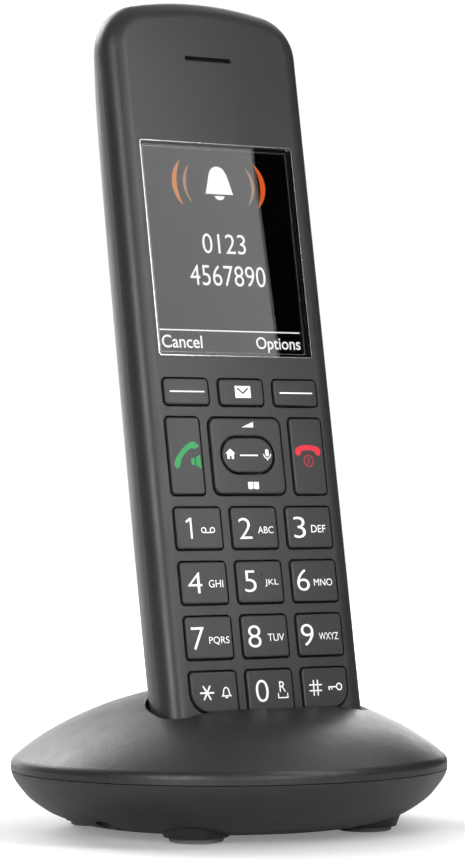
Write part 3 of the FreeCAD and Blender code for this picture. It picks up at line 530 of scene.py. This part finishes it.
bp = [(-2.48, 132.66), (-2.10, 133.9), (-1.60, 135.8), (-1.30, 136.9)] + arc3((-1.05, 137.45), (0.80, 138.60), (2.62, 137.45), 12) + \
     [(2.92, 136.9), (3.30, 135.8), (3.80, 133.9), (4.18, 132.66)]
on_screen("screen_bell", [shape([bp]), shape([ring_pts(0.86, 132.28, 1.18, 0.86, 180, 360, 16)])], "lit_white")
on_screen("screen_arc_outer_left", [shape(lens((-8.00, 139.50), (-9.72, 135.10), (-8.05, 130.00), 1.15))], "lit_pale")
on_screen("screen_arc_outer_right", [shape(lens((9.75, 139.45), (11.60, 134.45), (9.95, 130.05), 1.22))], "lit_orange")
on_screen("screen_arc_inner_left", [shape(lens((-5.84, 138.75), (-7.26, 135.45), (-5.90, 130.75), 0.74))], "lit_dim")
on_screen("screen_arc_inner_right", [shape(lens((7.62, 138.60), (9.16, 134.55), (7.60, 130.60), 0.74))], "lit_dim")
on_screen("screen_number_first", [glyphs("0123", (-4.39, 5.97, 119.95, 124.15), bold=-0.004)], "lit_white")
on_screen("screen_number_second", [glyphs("4567890", (-8.05, 10.04, 113.10, 117.45), bold=-0.004)], "lit_white")
on_screen("screen_line", [shape([[(-17.05, 103.42), (17.05, 103.42), (17.05, 103.70), (-17.05, 103.70)]])], "lit_white")
on_screen("screen_label_left", [glyphs("Cancel", (-16.21, -6.70, 99.80, 102.50), bold=0.010)], "lit_white")
on_screen("screen_label_right", [glyphs("Options", (6.20, 16.95, 99.15, 102.50), bold=0.010)], "lit_white")

# window: polished outer edge line, printed border behind the glass with a fine inner line
WIN = (-18.30, 18.30, 97.71, 142.98)


def rr(u0, u1, v0, v1, r, n=8):
    out = []
    for cx, cy, a in ((u1 - r, v0 + r, -90), (u1 - r, v1 - r, 0), (u0 + r, v1 - r, 90), (u0 + r, v0 + r, 180)):
        out += [(cx + r * math.cos(math.radians(a + 90 * i / n)), cy + r * math.sin(math.radians(a + 90 * i / n))) for i in range(n + 1)]
    return out


def inset(w, d, r):
    return rr(w[0] + d, w[1] - d, w[2] + d, w[3] - d, r)


piece("window_edge_line", [shape([inset(WIN, 0.03, 0.66), inset(WIN, 0.21, 0.50)])], -0.02, 0.035, "edge", "handset")
piece("window_border_print", [shape([inset(WIN, 0.24, 0.5), inset(WIN, 1.24, 0.35)])], -1.005, 0.004, "print_black", "handset")
piece("window_border_line", [shape([inset(WIN, 1.00, 0.40), inset(WIN, 1.10, 0.35)])], -0.999, 0.003, "edge_dim", "handset")

# ---------------------------------------------------------------- stage, lights, camera
def plane(name, pts, mat):
    me = bpy.data.meshes.new(name)
    me.from_pydata(pts, [], [tuple(range(len(pts)))])
    ob = bpy.data.objects.new(name, me)
    scene.collection.objects.link(ob)
    me.materials.append(mat)
    return ob


def glow_mat(name, col, s):
    m = bpy.data.materials.new(name)
    m.use_nodes = True
    n = m.node_tree.nodes
    n.clear()
    e = n.new("ShaderNodeEmission")
    e.inputs["Color"].default_value = (*col, 1)
    e.inputs["Strength"].default_value = s
    o = n.new("ShaderNodeOutputMaterial")
    m.node_tree.links.new(e.outputs[0], o.inputs[0])
    return m


floor_t = Tree("floor_paper")
fn = floor_t.noise(300.0, 4.0)
floor_t.principled(Base_Color=floor_t.ramp(fn, [(0.3, (0.84, 0.84, 0.84)), (0.7, (0.88, 0.88, 0.88))]), Roughness=0.9,
                   Normal=floor_t.bump(fn, 0.05, 0.00005), Specular_IOR_Level=0.1)
floor = plane("floor", [(-2.5, -2.0, -0.0003), (2.5, -2.0, -0.0003), (2.5, 2.5, -0.0003), (-2.5, 2.5, -0.0003)], floor_t.m)

# painted glow on the floor: weak near the object, which paints shade round its base on top of the real shadow, and
# brightening away from it so that it runs out into plain white
gt = Tree("floor_glow")
sub = gt.n.new("ShaderNodeVectorMath")
sub.operation = "LENGTH"
gt.link(gt.tc.outputs["Object"], sub.inputs[0])
ge = gt.n.new("ShaderNodeEmission")
ge.inputs["Color"].default_value = (1, 1, 1, 1)
# emission 0.22 near the object rising to 1.0 from 15 cm out: the low value near the base is painted shade
gt.link(gt.remap(sub.outputs["Value"], 0.045, 0.15, 0.22, 1.0), ge.inputs["Strength"])
gtr = gt.n.new("ShaderNodeBsdfTransparent")
gadd = gt.n.new("ShaderNodeAddShader")
gt.link(ge.outputs[0], gadd.inputs[0])
gt.link(gtr.outputs[0], gadd.inputs[1])
gt.link(gadd.outputs[0], gt.out.inputs["Surface"])
glow = plane("floor_painted_glow", [(-2.5, -2.0, -0.0001), (2.5, -2.0, -0.0001), (2.5, 2.5, -0.0001), (-2.5, 2.5, -0.0001)], gt.m)
glow.visible_diffuse = False
glow.visible_glossy = False
glow.visible_shadow = False
glow.visible_transmission = False
back = plane("backdrop", [(-3.5, 2.5, -0.2), (3.5, 2.5, -0.2), (3.5, 2.5, 3.5), (-3.5, 2.5, 3.5)], glow_mat("backdrop_white", (1, 1, 1), 1.02))
back.visible_diffuse = False
back.visible_glossy = False
rear = plane("rear_card", [(-0.36, 1.2, 0.0), (1.3, 1.2, 0.0), (1.3, 1.2, 1.4), (-0.36, 1.2, 1.4)], glow_mat("rear_card_white", (1, 1, 1), 0.80))
low = plane("rear_low_card", [(-0.26, 1.19, 0.0), (0.62, 1.19, 0.0), (0.62, 1.19, 0.36), (-0.26, 1.19, 0.36)], glow_mat("rear_low_white", (1, 1, 1), 2.4))
for ob in (rear, low):
    ob.visible_camera = False
    ob.visible_shadow = False

world = bpy.data.worlds.new("studio")
scene.world = world
world.use_nodes = True
world.node_tree.nodes["Background"].inputs["Color"].default_value = (0.9, 0.92, 0.95, 1)
world.node_tree.nodes["Background"].inputs["Strength"].default_value = 0.01


def area(name, pos, target, size, power, col=(1, 1, 1)):
    la = bpy.data.lights.new(name, "AREA")
    la.shape = "RECTANGLE"
    la.size, la.size_y = size
    la.energy = power
    la.color = col
    ob = bpy.data.objects.new(name, la)
    scene.collection.objects.link(ob)
    ob.location = pos
    d = Vector(target) - Vector(pos)
    ob.rotation_euler = d.to_track_quat("-Z", "Y").to_euler()
    return ob


MID = (0, 0, 0.08)
area("front", (-0.10, -0.90, 0.30), MID, (0.4, 0.4), 2.5)
area("camera_left", (-0.72, -0.46, 0.28), MID, (0.26, 0.4), 3.7)
area("rear_left_low", (-0.17, 0.85, 0.52), MID, (0.5, 0.3), 3.0)
area("top_back", (-0.12, 0.75, 0.74), MID, (0.7, 0.4), 3.0)
area("overhead", (0.0, 0.18, 0.95), (0, 0, 0.03), (0.7, 0.7), 0.7)
area("top_right", (0.55, 0.10, 0.80), MID, (0.4, 0.4), 0.9)
area("rear_right_high", (0.50, 0.50, 0.60), MID, (0.3, 0.3), 0.8)
area("rear_right", (0.60, 0.62, 0.25), MID, (0.3, 0.4), 1.2)
area("face_strip", (0.0345, -0.1203, 0.149), (-0.042, -0.0043, 0.0935), (0.028, 0.17), 0.125)

# camera from the measured view
CAM = Vector((-0.33560025, -0.55833275, 0.06635458))
FWD = Vector((0.51635949, 0.85608152, 0.02230046)).normalized()
UPV = Vector((-0.00760412, -0.02145616, 0.99974087))
RGT = FWD.cross(UPV).normalized()
UPV = RGT.cross(FWD).normalized()
cam_data = bpy.data.cameras.new("camera")
cam = bpy.data.objects.new("camera", cam_data)
scene.collection.objects.link(cam)
cam.matrix_world = Matrix(((RGT.x, UPV.x, -FWD.x, CAM.x), (RGT.y, UPV.y, -FWD.y, CAM.y), (RGT.z, UPV.z, -FWD.z, CAM.z), (0, 0, 0, 1)))
cam_data.sensor_fit = "AUTO"
cam_data.sensor_width = 36.0
cam_data.lens = 3170.3648 * 36.0 / 864.0
cam_data.clip_start = 0.01
cam_data.clip_end = 20
scene.camera = cam

# card mirrored in the window: found by reflecting the camera in the glass
P0 = at(0, 0, -0.03)
MIR = CAM - 2 * (CAM - P0).dot(OUT) * OUT


def card(name, corners, dist, mat):
    mid = at(0, 120, -0.03)
    axis = (mid - MIR).normalized()
    pts = []
    for u, v in corners:
        p = at(u, v, -0.03)
        r = (p - MIR).normalized()
        pts.append(tuple(p + r * ((mid + axis * dist - p).dot(axis) / r.dot(axis))))
    ob = plane(name, pts, mat)
    ob.visible_camera = False
    ob.visible_diffuse = False
    ob.visible_shadow = False
    ob.visible_transmission = False
    return ob


card("window_card", [(-24.0, 150.0), (8.75, 150.0), (10.72, 90.0), (-24.0, 90.0)], 0.60, glow_mat("card_white", (1, 1, 1), 1.48))
card("dark_card", [(-60.0, 190.0), (60.0, 190.0), (60.0, 40.0), (-60.0, 40.0)], 0.66, glow_mat("card_black", (0, 0, 0), 0.0))
